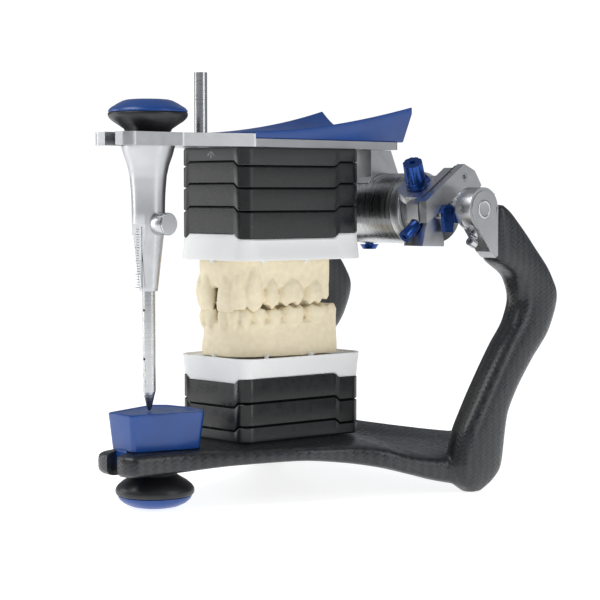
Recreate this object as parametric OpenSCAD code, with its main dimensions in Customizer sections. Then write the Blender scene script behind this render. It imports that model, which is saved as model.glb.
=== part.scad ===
// Dental articulator: a curved lower frame carries a hinged upper frame, with a
// plaster model of each jaw on a stack of spacer plates between them.
// Front is -Y, rear is +Y, and the right-hand side is +X. All sizes are in millimetres.

/* [Frame] */
// Overall width of the lower frame
frame_w = 148; // [147.5:0.25:148.5]
// Height of the lower frame's mounting face above the table
frame_top_z = 25; // [24.5:0.25:25.5]
// Clear height between the two mounting faces
mount_clearance = 126; // [125.5:0.25:126.5]
// Thickness of the upper frame's plate
plate_t = 5.5; // [5:0.25:6]
// Distance from the middle of the part to the front end of the plate
plate_front = 102; // [101:0.5:102]

/* [Hinge] */
// Distance of the hinge axis behind the middle of the part
axis_y = 47.5; // [47.25:0.25:47.75]
// Height of the hinge axis above the table
axis_z = 124.5; // [124.25:0.25:124.75]
// Radius of the cross tube
tube_r = 16; // [15.5:0.25:16.25]
// Radius of the ball at the inner end of each axle
ball_r = 5.1; // [4.6:0.1:5.2]

/* [Incisal pin] */
// Distance of the pin's axis in front of the middle of the part
pin_front = 82.1; // [81.8:0.1:82.4]
// Diameter of the incisal pin
pin_d = 5.4; // [5:0.1:5.6]
// Height of the incisal table's top face
table_top_z = 40.7; // [40:0.1:41.5]
// Diameter of the support rod
rod_d = 5.5; // [5:0.1:6]

/* [Model stacks] */
// Half width of a stack at its front end
stack_w_front = 21; // [20.5:0.25:21.5]
// Half width of a stack at its rear end
stack_w_rear = 27.2; // [26.8:0.2:27.6]
// Height of the interlocking corner lips
lip_h = 2; // [1.6:0.1:2.2]
// Height of the plane where the teeth meet
bite_z = 84; // [83.6:0.1:84.4]

/* [Hidden] */

$fn = 48;
join_overlap = 0.01;     // overlap that makes two touching solids one
fit_gap = 0.05;          // radial gap of a shaft that turns or slides in its hole
body_gap = 0.3;          // gap between pieces that pass each other
plate_low_z = frame_top_z + mount_clearance;
plate_top_z = plate_low_z + plate_t;
pin_y = -pin_front;
foot_y = -79.3;
slot_half = 3.4;         // half width of the front slots in the frame and in the plate
axle_r = 3.5;            // axle inside its bracket
neck_r = 2.4;            // axle between the bracket and its ball
ball_x = 53;             // middle of the right ball
bracket_x0 = 63.8;       // inner and outer face of a bracket
bracket_x1 = 72;
bracket_rear_y = 57.3;
head_r = 9.5;            // round head of a bracket
spigot_r = 8;            // spigot of a housing inside the cross tube
flange_x0 = 30.9;        // inner and outer face of a tube flange
flange_x1 = 36.3;
bar_x0 = 52.8;           // inner and outer face of a guide bar
bar_x1 = 57;
leg_x = 66;              // middle of the right leg
dial_at = [43.3, axis_y - 12, axis_z + 10];
dial_tilt = [31, 18];    // degrees the dial leans forward and outward
sleeve_low_z = 90.8;
sleeve_top_z = plate_low_z;
thumb_z = 118.8;         // height of the thumbscrew on the incisal pin
pin_top_z = 118;
pin_low_z = 49;          // where the pin's tapered end starts
tip_z = 47;              // upper end of the pin's dark tip
rod_y = -53.2;
rod_seat_r = 3.3;
rod_free = 26.1;         // length of the support rod above the plate
wing_screw_y = [-20, 25];

// Lower stack levels, from the frame up to the model
low_levels = [frame_top_z, 31.9, 42, 52.5, 61.2];
// Upper stack levels, from the plate down to the model
up_levels = [plate_low_z, 143.1, 133.7, 123.8, 112, 102.7];
stack_front = -47.5;
stack_rear = 17.9;
corner_r = 5.4;

// Stations of the frame's base from front to rear:
// [y, half width, top in the middle, top at the edge, underside at the edge, underside in the middle]
BASE = [
  [-102, 8.5, 23.4, 23.4, 16.6, 16.6],
  [-99.5, 12.4, 24.6, 24.6, 14.9, 14.9],
  [-92, 14, 25, 25, 14.7, 14.7],
  [-78, 18, 25, 25, 15.1, 15.1],
  [-57, 28, 25, 25, 16.6, 17],
  [-33, 40, 25, 25, 17.2, 18],
  [-11, 48, 25, 25, 14.4, 17.5],
  [4, 55.5, 25, 23.6, 11, 16.5],
  [18, 60.5, 24.6, 19.4, 6.6, 15],
  [30, 64.4, 18.5, 18.4, 2.8, 11],
  [42, 67.5, 17.2, 20, 0, 9.5],
  [52, 69, 18, 22, 0.4, 10],
  [60, 69, 20.4, 24, 6, 12.5],
  [66, 66, 22, 24, 14, 17]];

// Stations of a leg from the foot up: [front y, front z, rear y, rear z, half width]
LEG = [
  [43, 0, 51, 0, 3.6],
  [37, 4.6, 58, 4.6, 6.4],
  [34, 12, 63, 10, 7.6],
  [37, 25, 65, 22, 8],
  [44.5, 37.5, 66.5, 32, 8],
  [51, 47, 71.5, 41.5, 8],
  [63.5, 64, 82.5, 55, 8],
  [72.5, 75, 96.5, 70, 8],
  [75.5, 84, 102, 84.5, 8],
  [72, 93.5, 97, 95, 8],
  [58.5, 102.5, 84.5, 108.5, 8],
  [57.4, 109, 76, 116.5, 7.8],
  [57.4, 119, 66.5, 124, 7.4],
  [57.4, 125.4, 61.5, 126.6, 6.4]];

// Signed power, for rounded-square outlines
function spow(v, p) = sign(v) * pow(abs(v), p);

// Outline of a polygon with every corner turned into an arc of the given radius
function round_pts(pts, r, steps = 8) = [
  for (i = [0:len(pts) - 1])
    let (n = len(pts), p = pts[i], a = pts[(i + n - 1) % n] - p, b = pts[(i + 1) % n] - p)
    let (ua = a / norm(a), ub = b / norm(b), half = acos(ua * ub) / 2)
    let (c = p + (ua + ub) / norm(ua + ub) * r / sin(half))
    let (from = p + ua * r / tan(half) - c, to = p + ub * r / tan(half) - c)
    let (a0 = atan2(from[1], from[0]), turn = atan2(to[1], to[0]) - a0)
    let (sweep = turn > 180 ? turn - 360 : (turn < -180 ? turn + 360 : turn))
    for (k = [0:steps]) c + r * [cos(a0 + sweep * k / steps), sin(a0 + sweep * k / steps)]];

// Closed skin over a list of rings that all have the same number of points
module loft(rings) {
  n = len(rings[0]);
  m = len(rings);
  polyhedron(
    points = [for (r = rings) for (p = r) p],
    faces = concat(
      [[for (i = [0:n - 1]) i]],
      [[for (i = [n - 1:-1:0]) (m - 1) * n + i]],
      [for (j = [0:m - 2]) for (i = [0:n - 1]) let (k = (i + 1) % n)
        each [[j * n + k, j * n + i, (j + 1) * n + i], [j * n + k, (j + 1) * n + i, (j + 1) * n + k]]]),
    convexity = 6);
}

module rod_x(x0, x1, r) { translate([x0, 0, 0]) rotate([0, 90, 0]) cylinder(r = r, h = x1 - x0); }
module at_axis() { translate([0, axis_y, axis_z]) children(); }
// Side outline (y, z) extruded along X
module slab_x(x0, x1) { translate([x0, 0, 0]) rotate([90, 0, 90]) linear_extrude(x1 - x0) children(); }
module left_side() { mirror([1, 0, 0]) children(); }
module both_sides() { children(); left_side() children(); }

// ---- Lower frame ----
base_ring_n = 40;
function base_ring(s) = [for (i = [0:base_ring_n - 1])
  let (a = -360 * i / base_ring_n, x = s[1] * spow(cos(a), 0.5), v = spow(sin(a), 0.42))
  let (q = pow(x / s[1], 2))
  let (top = s[2] + (s[3] - s[2]) * q, low = s[5] + (s[4] - s[5]) * q, mid = (s[3] + s[4]) / 2)
  [x, s[0], v > 0 ? mid + v * (top - mid) : mid + v * (mid - low)]];

leg_ring_n = 28;
function leg_ring(s) = [for (i = [0:leg_ring_n - 1])
  let (a = 360 * i / leg_ring_n, t = (1 + spow(sin(a), 0.7)) / 2)
  [leg_x + s[4] * spow(cos(a), 0.7), s[0] + t * (s[2] - s[0]), s[1] + t * (s[3] - s[1])]];

module front_slot(z0, z1, end_y) {
  translate([-slot_half, -110, z0]) cube([2 * slot_half, 110 + end_y, z1 - z0]);
  translate([0, end_y, z0]) cylinder(r = slot_half, h = z1 - z0);
}

module carbon_frame() {
  color("#26282a") resize([frame_w, 0, 0]) difference() {
    union() {
      loft([for (s = BASE) base_ring(s)]);
      both_sides() loft([for (s = LEG) leg_ring(s)]);
    }
    front_slot(0, 40, foot_y + 2);
  }
}

// ---- Hinge brackets and axles ----
tail_front_y = 50.2;
tail_low_z = 104;
module bracket_profile() {
  translate([axis_y, axis_z]) circle(r = head_r);
  polygon([
    [axis_y - head_r * cos(13), axis_z - head_r * sin(13)],
    [tail_front_y + 1.8, tail_low_z + 1.8],
    [bracket_rear_y - 1.6, tail_low_z - 1],
    [bracket_rear_y, tail_low_z],
    [bracket_rear_y, axis_z + 1],
    [axis_y + head_r * cos(40), axis_z + head_r * sin(40)],
    [axis_y, axis_z + head_r - 1]]);
}
module hinge_bracket() {
  color("#c9cbcc") difference() {
    slab_x(bracket_x0, bracket_x1) bracket_profile();
    at_axis() rod_x(bracket_x0 - 1, bracket_x1 + 1, axle_r);
    // recess for the two cap screws that hold the bracket to the leg
    translate([(bracket_x0 + bracket_x1) / 2, 43.5, 113]) rotate([62, 0, 0])
      both_ends(4.6) translate([0, 0, -4]) cylinder(r = 2.1, h = 12);
    // blind hole for the set screw
    translate([(bracket_x0 + bracket_x1) / 2, axis_y - axle_r, axis_z]) rotate([90, 0, 0])
      cylinder(r = 1.6, h = 8);
    // blind hole for the stop pin
    translate([70.4, 55.4, 127.5]) cylinder(r = 0.8, h = 6);
  }
}
module both_ends(d) { for (s = [-1, 1]) translate([0, s * d / 2, 0]) children(); }
module hinge_bracket_right() { hinge_bracket(); }
module hinge_bracket_left() { left_side() hinge_bracket(); }

module condyle_axle() {
  color("#d8dadb") at_axis() {
    rod_x(bracket_x0 - 1.4, bracket_x1 + 0.1, axle_r);
    rod_x(ball_x, bracket_x0, neck_r);
    translate([ball_x, 0, 0]) rotate([0, 90, 0]) sphere(r = ball_r);
  }
}
module condyle_axle_right() { condyle_axle(); }
module condyle_axle_left() { left_side() condyle_axle(); }

module socket_screw(r, h, key_r, key_h) {
  difference() {
    cylinder(r = r, h = h);
    translate([0, 0, h - key_h]) cylinder(r = key_r, h = key_h + 1, $fn = 6);
  }
}
module bracket_screws() {
  color("#b9bbbd") both_sides()
    translate([(bracket_x0 + bracket_x1) / 2, 43.5, 113]) rotate([62, 0, 0])
      both_ends(4.6) translate([0, 0, -4]) socket_screw(2.05, 3.4, 1, 1.6);
}
module axle_set_screws() {
  color("#b9bbbd") both_sides()
    translate([(bracket_x0 + bracket_x1) / 2, axis_y - axle_r - 0.1, axis_z]) rotate([90, 0, 0])
      socket_screw(1.55, 5.6, 0.8, 1.4);
}
module stop_pins() {
  color("#d8dadb") both_sides() translate([70.4, 55.4, 127.6]) cylinder(r = 0.75, h = 4);
}

// ---- Incisal table and front foot ----
module table_outline(grow) {
  polygon(round_pts([[-8 - grow, -98.2 - grow], [8 + grow, -98.2 - grow], [17.2 + grow, -67 + grow],
    [12, -62 + grow], [0, -60.5 + grow], [-12, -62 + grow], [-17.2 - grow, -67 + grow]], 2.2, 5));
}
module incisal_table() {
  color("#1f5fae") difference() {
    union() {
      hull() {
        translate([0, 0, frame_top_z]) linear_extrude(1) table_outline(-1.6);
        translate([0, 0, table_top_z - 1]) linear_extrude(1) table_outline(0);
      }
      translate([-slot_half + 0.1, -97, 18.8]) cube([2 * slot_half - 0.2, 19.7, 7]);
    }
    translate([0, foot_y, 10]) cylinder(r = 2.5 + fit_gap, h = 20);
  }
}

knob_r = 16.6;
module foot_stud() {
  color("#b9bbbd") translate([0, foot_y, 8]) cylinder(r = 2.5, h = 20);
}
module foot_ring() {
  color("#1c1d1f") translate([0, foot_y, 0]) rotate_extrude($fn = 72)
    polygon([[2.5, 5.2], [15.2, 5.2], [16.4, 6], [knob_r, 7.2], [16.2, 8.6],
      [14.4, 10.4], [11.6, 12.2], [9.6, 13.4], [9.2, 14.5], [2.5, 14.5]]);
}
module foot_cap() {
  color("#1f5fae") translate([0, foot_y, 0]) rotate_extrude($fn = 72)
    polygon([[0, 0], [7, 0], [10.6, 0.7], [13.6, 2.2], [15.3, 4], [15.5, 5.2], [2.5, 5.2],
      [2.5, 7.9], [0, 7.9]]);
}

// ---- Stacks of plates ----
// Outline with rounded corners that is wider at the rear than at the front
module tapered_outline(w_front, w_rear, front, rear, r) {
  polygon(round_pts([[-w_front, front], [w_front, front], [w_rear, rear], [-w_rear, rear]], r));
}
module stack_outline() {
  tapered_outline(stack_w_front, stack_w_rear, stack_front, stack_rear, corner_r);
}
// Corner lips between z and z + h, with sloped ends; h is negative on the upper stack
module corner_lips(z, h) {
  intersection() {
    translate([0, 0, min(z, z + h)]) linear_extrude(abs(h)) stack_outline();
    both_sides() intersection() {
      rotate([90, 0, 0]) translate([0, 0, -10]) linear_extrude(70)
        polygon([[14.6, z], [17, z + h], [40, z + h], [40, z]]);
      slab_x(0, 40) polygon([[-60, z], [-60, z + h], [2.5, z + h], [4.9, z]]);
    }
  }
}
// One plate of a stack between two levels; s is 1 on the lower stack and -1 on the upper one
module stack_plate(z0, z1, s, first) {
  a = first ? z0 : z0 - s * lip_h;
  b = z1 - s * lip_h;
  difference() {
    union() {
      translate([0, 0, min(a, b)]) linear_extrude(abs(b - a)) stack_outline();
      corner_lips(b, s * lip_h);
    }
    if (!first) corner_lips(a, s * lip_h);
  }
}
// Rounder outline of a tray's rim on the model side
module tray_rim() {
  tapered_outline(stack_w_front + 2, stack_w_rear + 2, stack_front - 1, stack_rear + 1.7, 9);
}
module tray(z0, z1, s) {
  a = z0 - s * lip_h;
  difference() {
    hull() {
      translate([0, 0, min(a, a + s * 0.5)]) linear_extrude(0.5) stack_outline();
      translate([0, 0, min(z1, z1 - s * 0.5)]) linear_extrude(0.5) tray_rim();
    }
    corner_lips(a, s * lip_h);
  }
}
module lower_mount_plate() { color("#55575a") stack_plate(low_levels[0], low_levels[1], 1, true); }
module lower_spacer(k) { color("#1d1e20") stack_plate(low_levels[k], low_levels[k + 1], 1, false); }
module lower_spacer_1() { lower_spacer(1); }
module lower_spacer_2() { lower_spacer(2); }
module lower_tray() { color("#f4f4f2") tray(low_levels[3], low_levels[4], 1); }
module upper_mount_plate() { color("#55575a") stack_plate(up_levels[0], up_levels[1], -1, true); }
module upper_spacer(k) { color("#1d1e20") stack_plate(up_levels[k], up_levels[k + 1], -1, false); }
module upper_spacer_1() { upper_spacer(1); }
module upper_spacer_2() { upper_spacer(2); }
module upper_spacer_3() { upper_spacer(3); }
module upper_tray() { color("#f4f4f2") tray(up_levels[4], up_levels[5], -1); }

// ---- Jaw models ----
arch_front = -43.5;
arch_rear = -3;
// Horseshoe curve of the teeth: t runs from -1 (left rear) over 0 (front) to 1 (right rear)
function arch_at(t, w) =
  [w * spow(sin(90 * t), 0.8), arch_front + (arch_rear - arch_front) * pow(abs(t), 1.9)];
module model_base(z0, z1, w, rear) {
  translate([0, 0, min(z0, z1)]) linear_extrude(abs(z1 - z0))
    polygon(concat(
      [for (k = [-10:10]) let (p = arch_at(k / 10, w - 2)) [p[0] * 1.06, p[1] - 2.2]],
      [[w - 3, rear], [3 - w, rear]]));
}
module teeth(z, s, w, h) {
  teeth_n = 7;
  for (k = [-teeth_n:teeth_n - 1]) {
    t = (k + 0.5) / (teeth_n + 0.3);
    p = arch_at(t, w - 3.5);
    r = abs(t) < 0.5 ? 2.6 : 3.9;
    translate([p[0], p[1], z]) rotate([0, 0, 90 * t]) mirror([0, 0, s > 0 ? 0 : 1])
      cylinder(r1 = r, r2 = r * 0.72, h = h, $fn = 24);
  }
}
module lower_model() {
  color("#efe3c2") {
    model_base(low_levels[4], bite_z - 7, 22, 3);
    teeth(bite_z - 8, 1, 22, 7.8);
  }
}
module upper_model() {
  color("#efe3c2") {
    model_base(up_levels[5], bite_z + 7, 22.5, -1);
    teeth(bite_z + 8, -1, 22.5, 7.7);
  }
}

// ---- Upper frame ----
wing_front = -43.5;
wing_rear = 48.2;
wing_seat_z = plate_top_z - 2.1;
// Half width of the plate under the wing and in front of it
plate_w_front = 12;
plate_w_rear = 24;
module plate_outline() {
  polygon(round_pts([[-plate_w_front, -plate_front], [plate_w_front, -plate_front], [13, -74],
    [plate_w_rear, wing_front], [plate_w_rear, 46], [-plate_w_rear, 46],
    [-plate_w_rear, wing_front], [-13, -74]], 4));
}
module upper_plate() {
  color("#c4c6c8") difference() {
    translate([0, 0, plate_low_z]) linear_extrude(plate_t) plate_outline();
    front_slot(plate_low_z - 1, plate_top_z + 1, pin_y);
    // seat of the wing
    translate([-40, wing_front, wing_seat_z]) cube([80, 100, 10]);
    // hole of the support rod
    translate([0, rod_y, plate_low_z - 1]) cylinder(r = rod_seat_r, h = 10);
    // holes of the screws that hold the wing
    for (y = wing_screw_y) translate([0, y, plate_low_z - 1]) cylinder(r = 1.5, h = 10);
  }
}

// Share of the wing's length at a given y, 0 at its front and 1 at its rear
function wing_part(y) = (y - wing_front) / (wing_rear - wing_front);
// Height of the wing's outer edge above the plate's top face, and half width there
function wing_rise(y) = 0.4 + 12.8 * pow(wing_part(y), 1.75);
function wing_half(y) = plate_w_rear + 5 * pow(wing_part(y), 2.4);
wing_n = 8;
wing_steps = 9;
function wing_ring(y) = let (w = wing_half(y), r = wing_rise(y))
  concat(
    [for (i = [-wing_n:wing_n]) let (q = i / wing_n)
      [w * q, y, plate_top_z + 0.9 + r * pow(abs(q), 2.2)]],
    [[w, y, wing_seat_z + 0.9 * r + 1], [plate_w_rear - 0.5, y, wing_seat_z],
     [0.5 - plate_w_rear, y, wing_seat_z], [-w, y, wing_seat_z + 0.9 * r + 1]]);
module handle_wing() {
  color("#1f5fae") loft([for (k = [0:wing_steps])
    wing_ring(wing_front + (wing_rear - wing_front) * k / wing_steps)]);
}
module wing_screws() {
  color("#b9bbbd") for (y = wing_screw_y) translate([0, y, plate_low_z + 0.4]) cylinder(r = 1.5, h = 2.6);
}

module axis_saddle() {
  saddle_w = 12.8;
  color("#bfc1c3") difference() {
    slab_x(-saddle_w, saddle_w)
      polygon([[38.2, plate_low_z], [38.2, 139], [36, 136], [59, 136], [56.6, 140],
        [51.4, plate_low_z]]);
    at_axis() rod_x(-saddle_w - 1, saddle_w + 1, tube_r);
  }
}
module cross_tube() {
  color("#b4b6b8") difference() {
    at_axis() rod_x(-flange_x0, flange_x0, tube_r);
    at_axis() rod_x(-flange_x0 - 1, flange_x0 + 1, spigot_r + fit_gap);
    translate([0, axis_y + 3, 100]) cylinder(r = 2 + fit_gap, h = 12.6);
  }
}
module tube_flange() {
  color("#c4c6c8") difference() {
    at_axis() rod_x(flange_x0, flange_x1, tube_r + 0.5);
    at_axis() rod_x(flange_x0 - 1, flange_x1 + 1, spigot_r + fit_gap);
  }
}
module tube_flange_right() { tube_flange(); }
module tube_flange_left() { left_side() tube_flange(); }

module axis_lock_knob() {
  color("#20407a") translate([0, axis_y + 3, 0]) {
    translate([0, 0, 105.5]) cylinder(r1 = 3.05, r2 = 4.45, h = 2.2);
    translate([0, 0, 107.6]) cylinder(r = 2, h = 4.6);
  }
}

module pin_sleeve() {
  color("#c4c6c8") translate([0, pin_y, 0]) difference() {
    rotate_extrude($fn = 72) polygon([[0, sleeve_low_z], [3.8, sleeve_low_z], [6.4, 114], [6.9, 114],
      [6.9, 123.6], [7, 128.5], [7.2, 132.5], [7.7, 138.5], [8.7, 143], [10.2, 147.2],
      [11.2, sleeve_top_z], [0, sleeve_top_z]]);
    // bore that leaves the pin room to slide up
    translate([0, 0, sleeve_low_z - 1])
      cylinder(r = pin_d / 2 + fit_gap, h = pin_top_z + 13 - sleeve_low_z);
    // bore for the clamp knob's stud
    translate([0, 0, 140]) cylinder(r = 2.5 + fit_gap, h = 20);
    // flat that carries the height scale
    translate([-8, -12, sleeve_low_z - 1]) cube([16, 12 - 5.2, 29]);
    // hole of the thumbscrew
    translate([0, 0, thumb_z]) rod_x(0, 12, 1.5 + fit_gap);
  }
}
module support_rod() {
  color("#a9abad") translate([0, rod_y, 0]) {
    translate([0, 0, plate_low_z + 0.2]) cylinder(r = rod_seat_r, h = plate_t - 0.2);
    translate([0, 0, plate_top_z]) cylinder(r = rod_d / 2, h = rod_free);
  }
}

// ---- Clamp knob on the front of the plate ----
module clamp_stud() {
  color("#b9bbbd") translate([0, pin_y, 141]) cylinder(r = 2.5, h = 20);
}
module clamp_knob_base() {
  color("#1c1d1f") translate([0, pin_y, 0]) rotate_extrude($fn = 72)
    polygon([[2.5, 156.8], [9.3, 156.8], [9.8, 158], [12.2, 159.6], [15, 161.4], [16.4, 163],
      [knob_r, 164], [16.3, 164.9], [2.5, 164.9]]);
}
module clamp_knob_cap() {
  color("#1f5fae") translate([0, pin_y, 0]) rotate_extrude($fn = 72)
    polygon([[0, 161], [2.5, 161], [2.5, 164.9], [16, 164.9], [15, 166.6], [12.6, 168.4], [9.6, 169.7],
      [6.8, 170.2], [0, 170.2]]);
}

// ---- Incisal pin ----
module incisal_pin() {
  color("#b4b6b8") translate([0, pin_y, 0]) difference() {
    union() {
      translate([0, 0, pin_low_z]) cylinder(r = pin_d / 2, h = pin_top_z - pin_low_z);
      translate([0, 0, tip_z]) cylinder(r1 = 2.2, r2 = pin_d / 2, h = pin_low_z - tip_z);
    }
    for (z = [62.5, 82.8]) translate([0, 0, z]) rotate([90, 0, 0]) translate([0, 0, -5])
      cylinder(r = 0.6, h = 10);
  }
}
module pin_tip() {
  color("#77797c") translate([0, pin_y, 0]) {
    translate([0, 0, table_top_z + 0.7]) cylinder(r1 = 0.9, r2 = 2.2, h = tip_z - table_top_z - 0.7);
    translate([0, 0, table_top_z + 0.75]) sphere(r = 0.72);
  }
}
thumb_x = 6.3;           // shank end of the thumbscrew's head
module pin_thumbscrew() {
  color("#a4a6a9") translate([0, pin_y, thumb_z]) {
    rod_x(pin_d / 2 + 0.4, thumb_x + 1, 1.5);
    rod_x(thumb_x + 0.9, thumb_x + 6.6, 4.7);
  }
}
module thumbscrew_face() {
  color("#dfe1e2") translate([0, pin_y, thumb_z]) rod_x(thumb_x + 6.6, thumb_x + 7.3, 4.2);
}

// ---- Condylar housings ----
module dial_place() { translate(dial_at) rotate([dial_tilt[0], dial_tilt[1], 0]) children(); }
module condylar_housing() {
  color("#c4c6c8") difference() {
    union() {
      // round body and the spigot that turns in the tube
      at_axis() rod_x(flange_x1 + body_gap, 46, tube_r - 1.2);
      at_axis() rod_x(8, flange_x1 + body_gap, spigot_r);
      // sloping block beside the guide bar
      slab_x(46 - join_overlap, bar_x0 - 0.4)
        polygon([[25.5, 126.5], [50.6, 142.8], [57, 140.5], [60.5, 134], [48.8, 131.2], [34, 121.7],
          [34, 119], [27.3, 118]]);
      // lower wedge that carries the clamp screw
      slab_x(44, 55) polygon([[29.8, 119.8], [34, 121.6], [37.5, 119.2], [40.6, 111], [40.6, 108],
        [26.5, 108.4]]);
      // dial plate
      intersection() {
        dial_place() translate([0, 0, -4]) cylinder(r = 8.6, h = 4);
        translate([flange_x1 + body_gap, 0, 100]) cube([20, 80, 60]);
      }
    }
    // room for the dial knob above its plate
    dial_place() cylinder(r = 8.6, h = 20);
    // room for the ball and its neck
    at_axis() rod_x(47, 70, ball_r + 0.3);
    // holes of the dial knob and of the clamp screw
    dial_place() translate([0, 0, -3]) cylinder(r = 2.05, h = 4);
    clamp_place() translate([0, 0, -4]) cylinder(r = 1.65, h = 30);
    clamp_place() translate([0, 0, 1.8]) cylinder(r = 3.05, h = 30);
  }
}
module condylar_housing_right() { condylar_housing(); }
module condylar_housing_left() { left_side() condylar_housing(); }

// Pivot of the lock lever (y, z) and the guide bar's cap screw (y, z)
lever_pivot = [39, 123.2];
guide_screw_at = [51.8, 138.6];
module guide_bar() {
  color("#cfd1d2") difference() {
    slab_x(bar_x0, bar_x1) {
      polygon([[26.6, 128], [51.8, 144.4], [58.9, 141.5], [63.5, 135.1], [61, 132.2], [48.8, 131.7],
        [34, 122.3], [27.3, 118.4]]);
      translate(lever_pivot) circle(r = 3);
    }
    at_axis() rod_x(bar_x0 - 1, 70, ball_r + 0.15);
    translate([0, guide_screw_at[0], guide_screw_at[1]]) rod_x(bar_x1 - 2.2, bar_x1 + 1, 2);
    translate([0, lever_pivot[0], lever_pivot[1]]) rod_x(bar_x0 + 1, bar_x1 + 1, 1.2 + fit_gap);
  }
}
module guide_bar_right() { guide_bar(); }
module guide_bar_left() { left_side() guide_bar(); }
module guide_screws() {
  color("#9a9c9f") translate([bar_x1 - 2.1, guide_screw_at[0], guide_screw_at[1]]) rotate([0, 90, 0])
    socket_screw(1.95, 2, 1, 1.2);
}
module guide_screws_right() { guide_screws(); }
module guide_screws_left() { left_side() guide_screws(); }

module dial_knob() {
  color("#20509a") dial_place() {
    translate([0, 0, -2.8]) cylinder(r = 2, h = 3.2);
    translate([0, 0, body_gap]) difference() {
      union() {
        cylinder(r1 = 4.6, r2 = 4.3, h = 12.4);
        intersection() {
          cylinder(r1 = 7.4, r2 = 3, h = 8);
          translate([-1.8, 0, 0]) cube([3.6, 8, 8]);
        }
      }
      translate([0, 0, 11.6]) cylinder(r = 1.5, h = 2, $fn = 6);
      // finger grooves
      for (k = [0:9]) rotate([0, 0, 36 * k + 18]) translate([5.1, 0, 3.6])
        cylinder(r = 1.1, h = 10, $fn = 24);
    }
  }
}
module dial_knob_right() { dial_knob(); }
module dial_knob_left() { left_side() dial_knob(); }

// Clamp screw: its axis points forward and down, out of the wedge
module clamp_place() { translate([49.5, 31.5, 119.6]) rotate([124, 0, 0]) children(); }
module clamp_screw() {
  color("#20407a") clamp_place() {
    translate([0, 0, -3]) cylinder(r = 1.6, h = 5);
    translate([0, 0, 2]) cylinder(r = 2.45, h = 2);
    translate([0, 0, 3.9]) difference() {
      cylinder(r = 2.75, h = 9);
      translate([0, 0, 8.2]) cylinder(r = 1.2, h = 2, $fn = 6);
    }
  }
}
module clamp_screw_right() { clamp_screw(); }
module clamp_screw_left() { left_side() clamp_screw(); }

// Latch that closes the housing under the ball, with a handle that hangs down
module lock_lever() {
  color("#20407a") {
    translate([0, lever_pivot[0], lever_pivot[1]]) rod_x(bar_x0 + 1.4, bar_x1 + body_gap, 1.2);
    slab_x(bar_x1 + body_gap, bar_x1 + body_gap + 2) {
      polygon([[35.4, 124.4], [37.4, 126.4], [41, 126.4], [42.5, 125.2], [43, 121.8], [46.5, 120.6],
        [50, 120.4], [50, 118.6], [45, 118.2], [42.4, 118.4], [41.5, 114.3], [37, 114.3],
        [36, 118.6]]);
    }
  }
}
module lock_lever_right() { lock_lever(); }
module lock_lever_left() { left_side() lock_lever(); }

carbon_frame();
hinge_bracket_right();
hinge_bracket_left();
condyle_axle_right();
condyle_axle_left();
bracket_screws();
axle_set_screws();
stop_pins();
incisal_table();
lower_mount_plate();
lower_spacer_1();
lower_spacer_2();
lower_tray();
lower_model();
foot_stud();
foot_ring();
foot_cap();
upper_plate();
handle_wing();
wing_screws();
axis_saddle();
cross_tube();
tube_flange_right();
tube_flange_left();
pin_sleeve();
support_rod();
upper_mount_plate();
upper_spacer_1();
upper_spacer_2();
upper_spacer_3();
upper_tray();
upper_model();
clamp_stud();
clamp_knob_base();
clamp_knob_cap();
incisal_pin();
pin_tip();
pin_thumbscrew();
thumbscrew_face();
axis_lock_knob();
condylar_housing_right();
condylar_housing_left();
guide_bar_right();
guide_bar_left();
guide_screws_right();
guide_screws_left();
dial_knob_right();
dial_knob_left();
clamp_screw_right();
clamp_screw_left();
lock_lever_right();
lock_lever_left();
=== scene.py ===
import math
import bmesh
import bpy
from mathutils import Euler, Matrix, Vector, noise


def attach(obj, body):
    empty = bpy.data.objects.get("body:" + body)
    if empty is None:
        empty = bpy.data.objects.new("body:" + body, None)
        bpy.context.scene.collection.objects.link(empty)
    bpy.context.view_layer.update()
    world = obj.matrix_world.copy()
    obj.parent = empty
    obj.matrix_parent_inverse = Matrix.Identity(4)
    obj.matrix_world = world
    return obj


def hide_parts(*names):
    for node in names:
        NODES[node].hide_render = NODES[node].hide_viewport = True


# The looks of a dental articulator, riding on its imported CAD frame. Lengths are in millimetres unless a
# comment says otherwise: x to the right, y from the incisal pin to the hinge, z up from the table top.
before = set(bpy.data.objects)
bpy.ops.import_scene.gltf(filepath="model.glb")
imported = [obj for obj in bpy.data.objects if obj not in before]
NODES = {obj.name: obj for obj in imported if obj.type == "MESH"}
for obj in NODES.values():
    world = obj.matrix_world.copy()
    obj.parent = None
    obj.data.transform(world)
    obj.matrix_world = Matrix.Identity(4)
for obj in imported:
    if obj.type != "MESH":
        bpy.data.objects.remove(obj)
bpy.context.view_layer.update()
MM = 0.001
SIDES = (("right", 1), ("left", -1))


# ---------------------------------------------------------------- small helpers
def signed_power(v, p):
    """|v| to the power p, with the sign of v: rounds or squares a circle when used on its sine and cosine."""
    return math.copysign(abs(v) ** p, v)


def lerp(a, b, t):
    return a + (b - a) * t


def smoothstep(t):
    t = min(1.0, max(0.0, t))
    return t * t * (3 - 2 * t)


def srgb(r, g, b):
    """An sRGB colour from 0 to 255, as linear RGBA."""
    def linear(c):
        c /= 255
        return c / 12.92 if c <= 0.04045 else ((c + 0.055) / 1.055) ** 2.4
    return (linear(r), linear(g), linear(b), 1.0)


def mesh_object(name, verts, faces, material, smooth=True):
    """A mesh from points in millimetres."""
    data = bpy.data.meshes.new(name)
    data.from_pydata([Vector(v) * MM for v in verts], [], faces)
    data.validate()
    obj = bpy.data.objects.new(name, data)
    bpy.context.scene.collection.objects.link(obj)
    if material:
        data.materials.append(material)
    clean = bmesh.new()
    clean.from_mesh(data)
    bmesh.ops.recalc_face_normals(clean, faces=clean.faces)
    clean.to_mesh(data)
    clean.free()
    for p in data.polygons:
        p.use_smooth = smooth
    return obj


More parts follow.
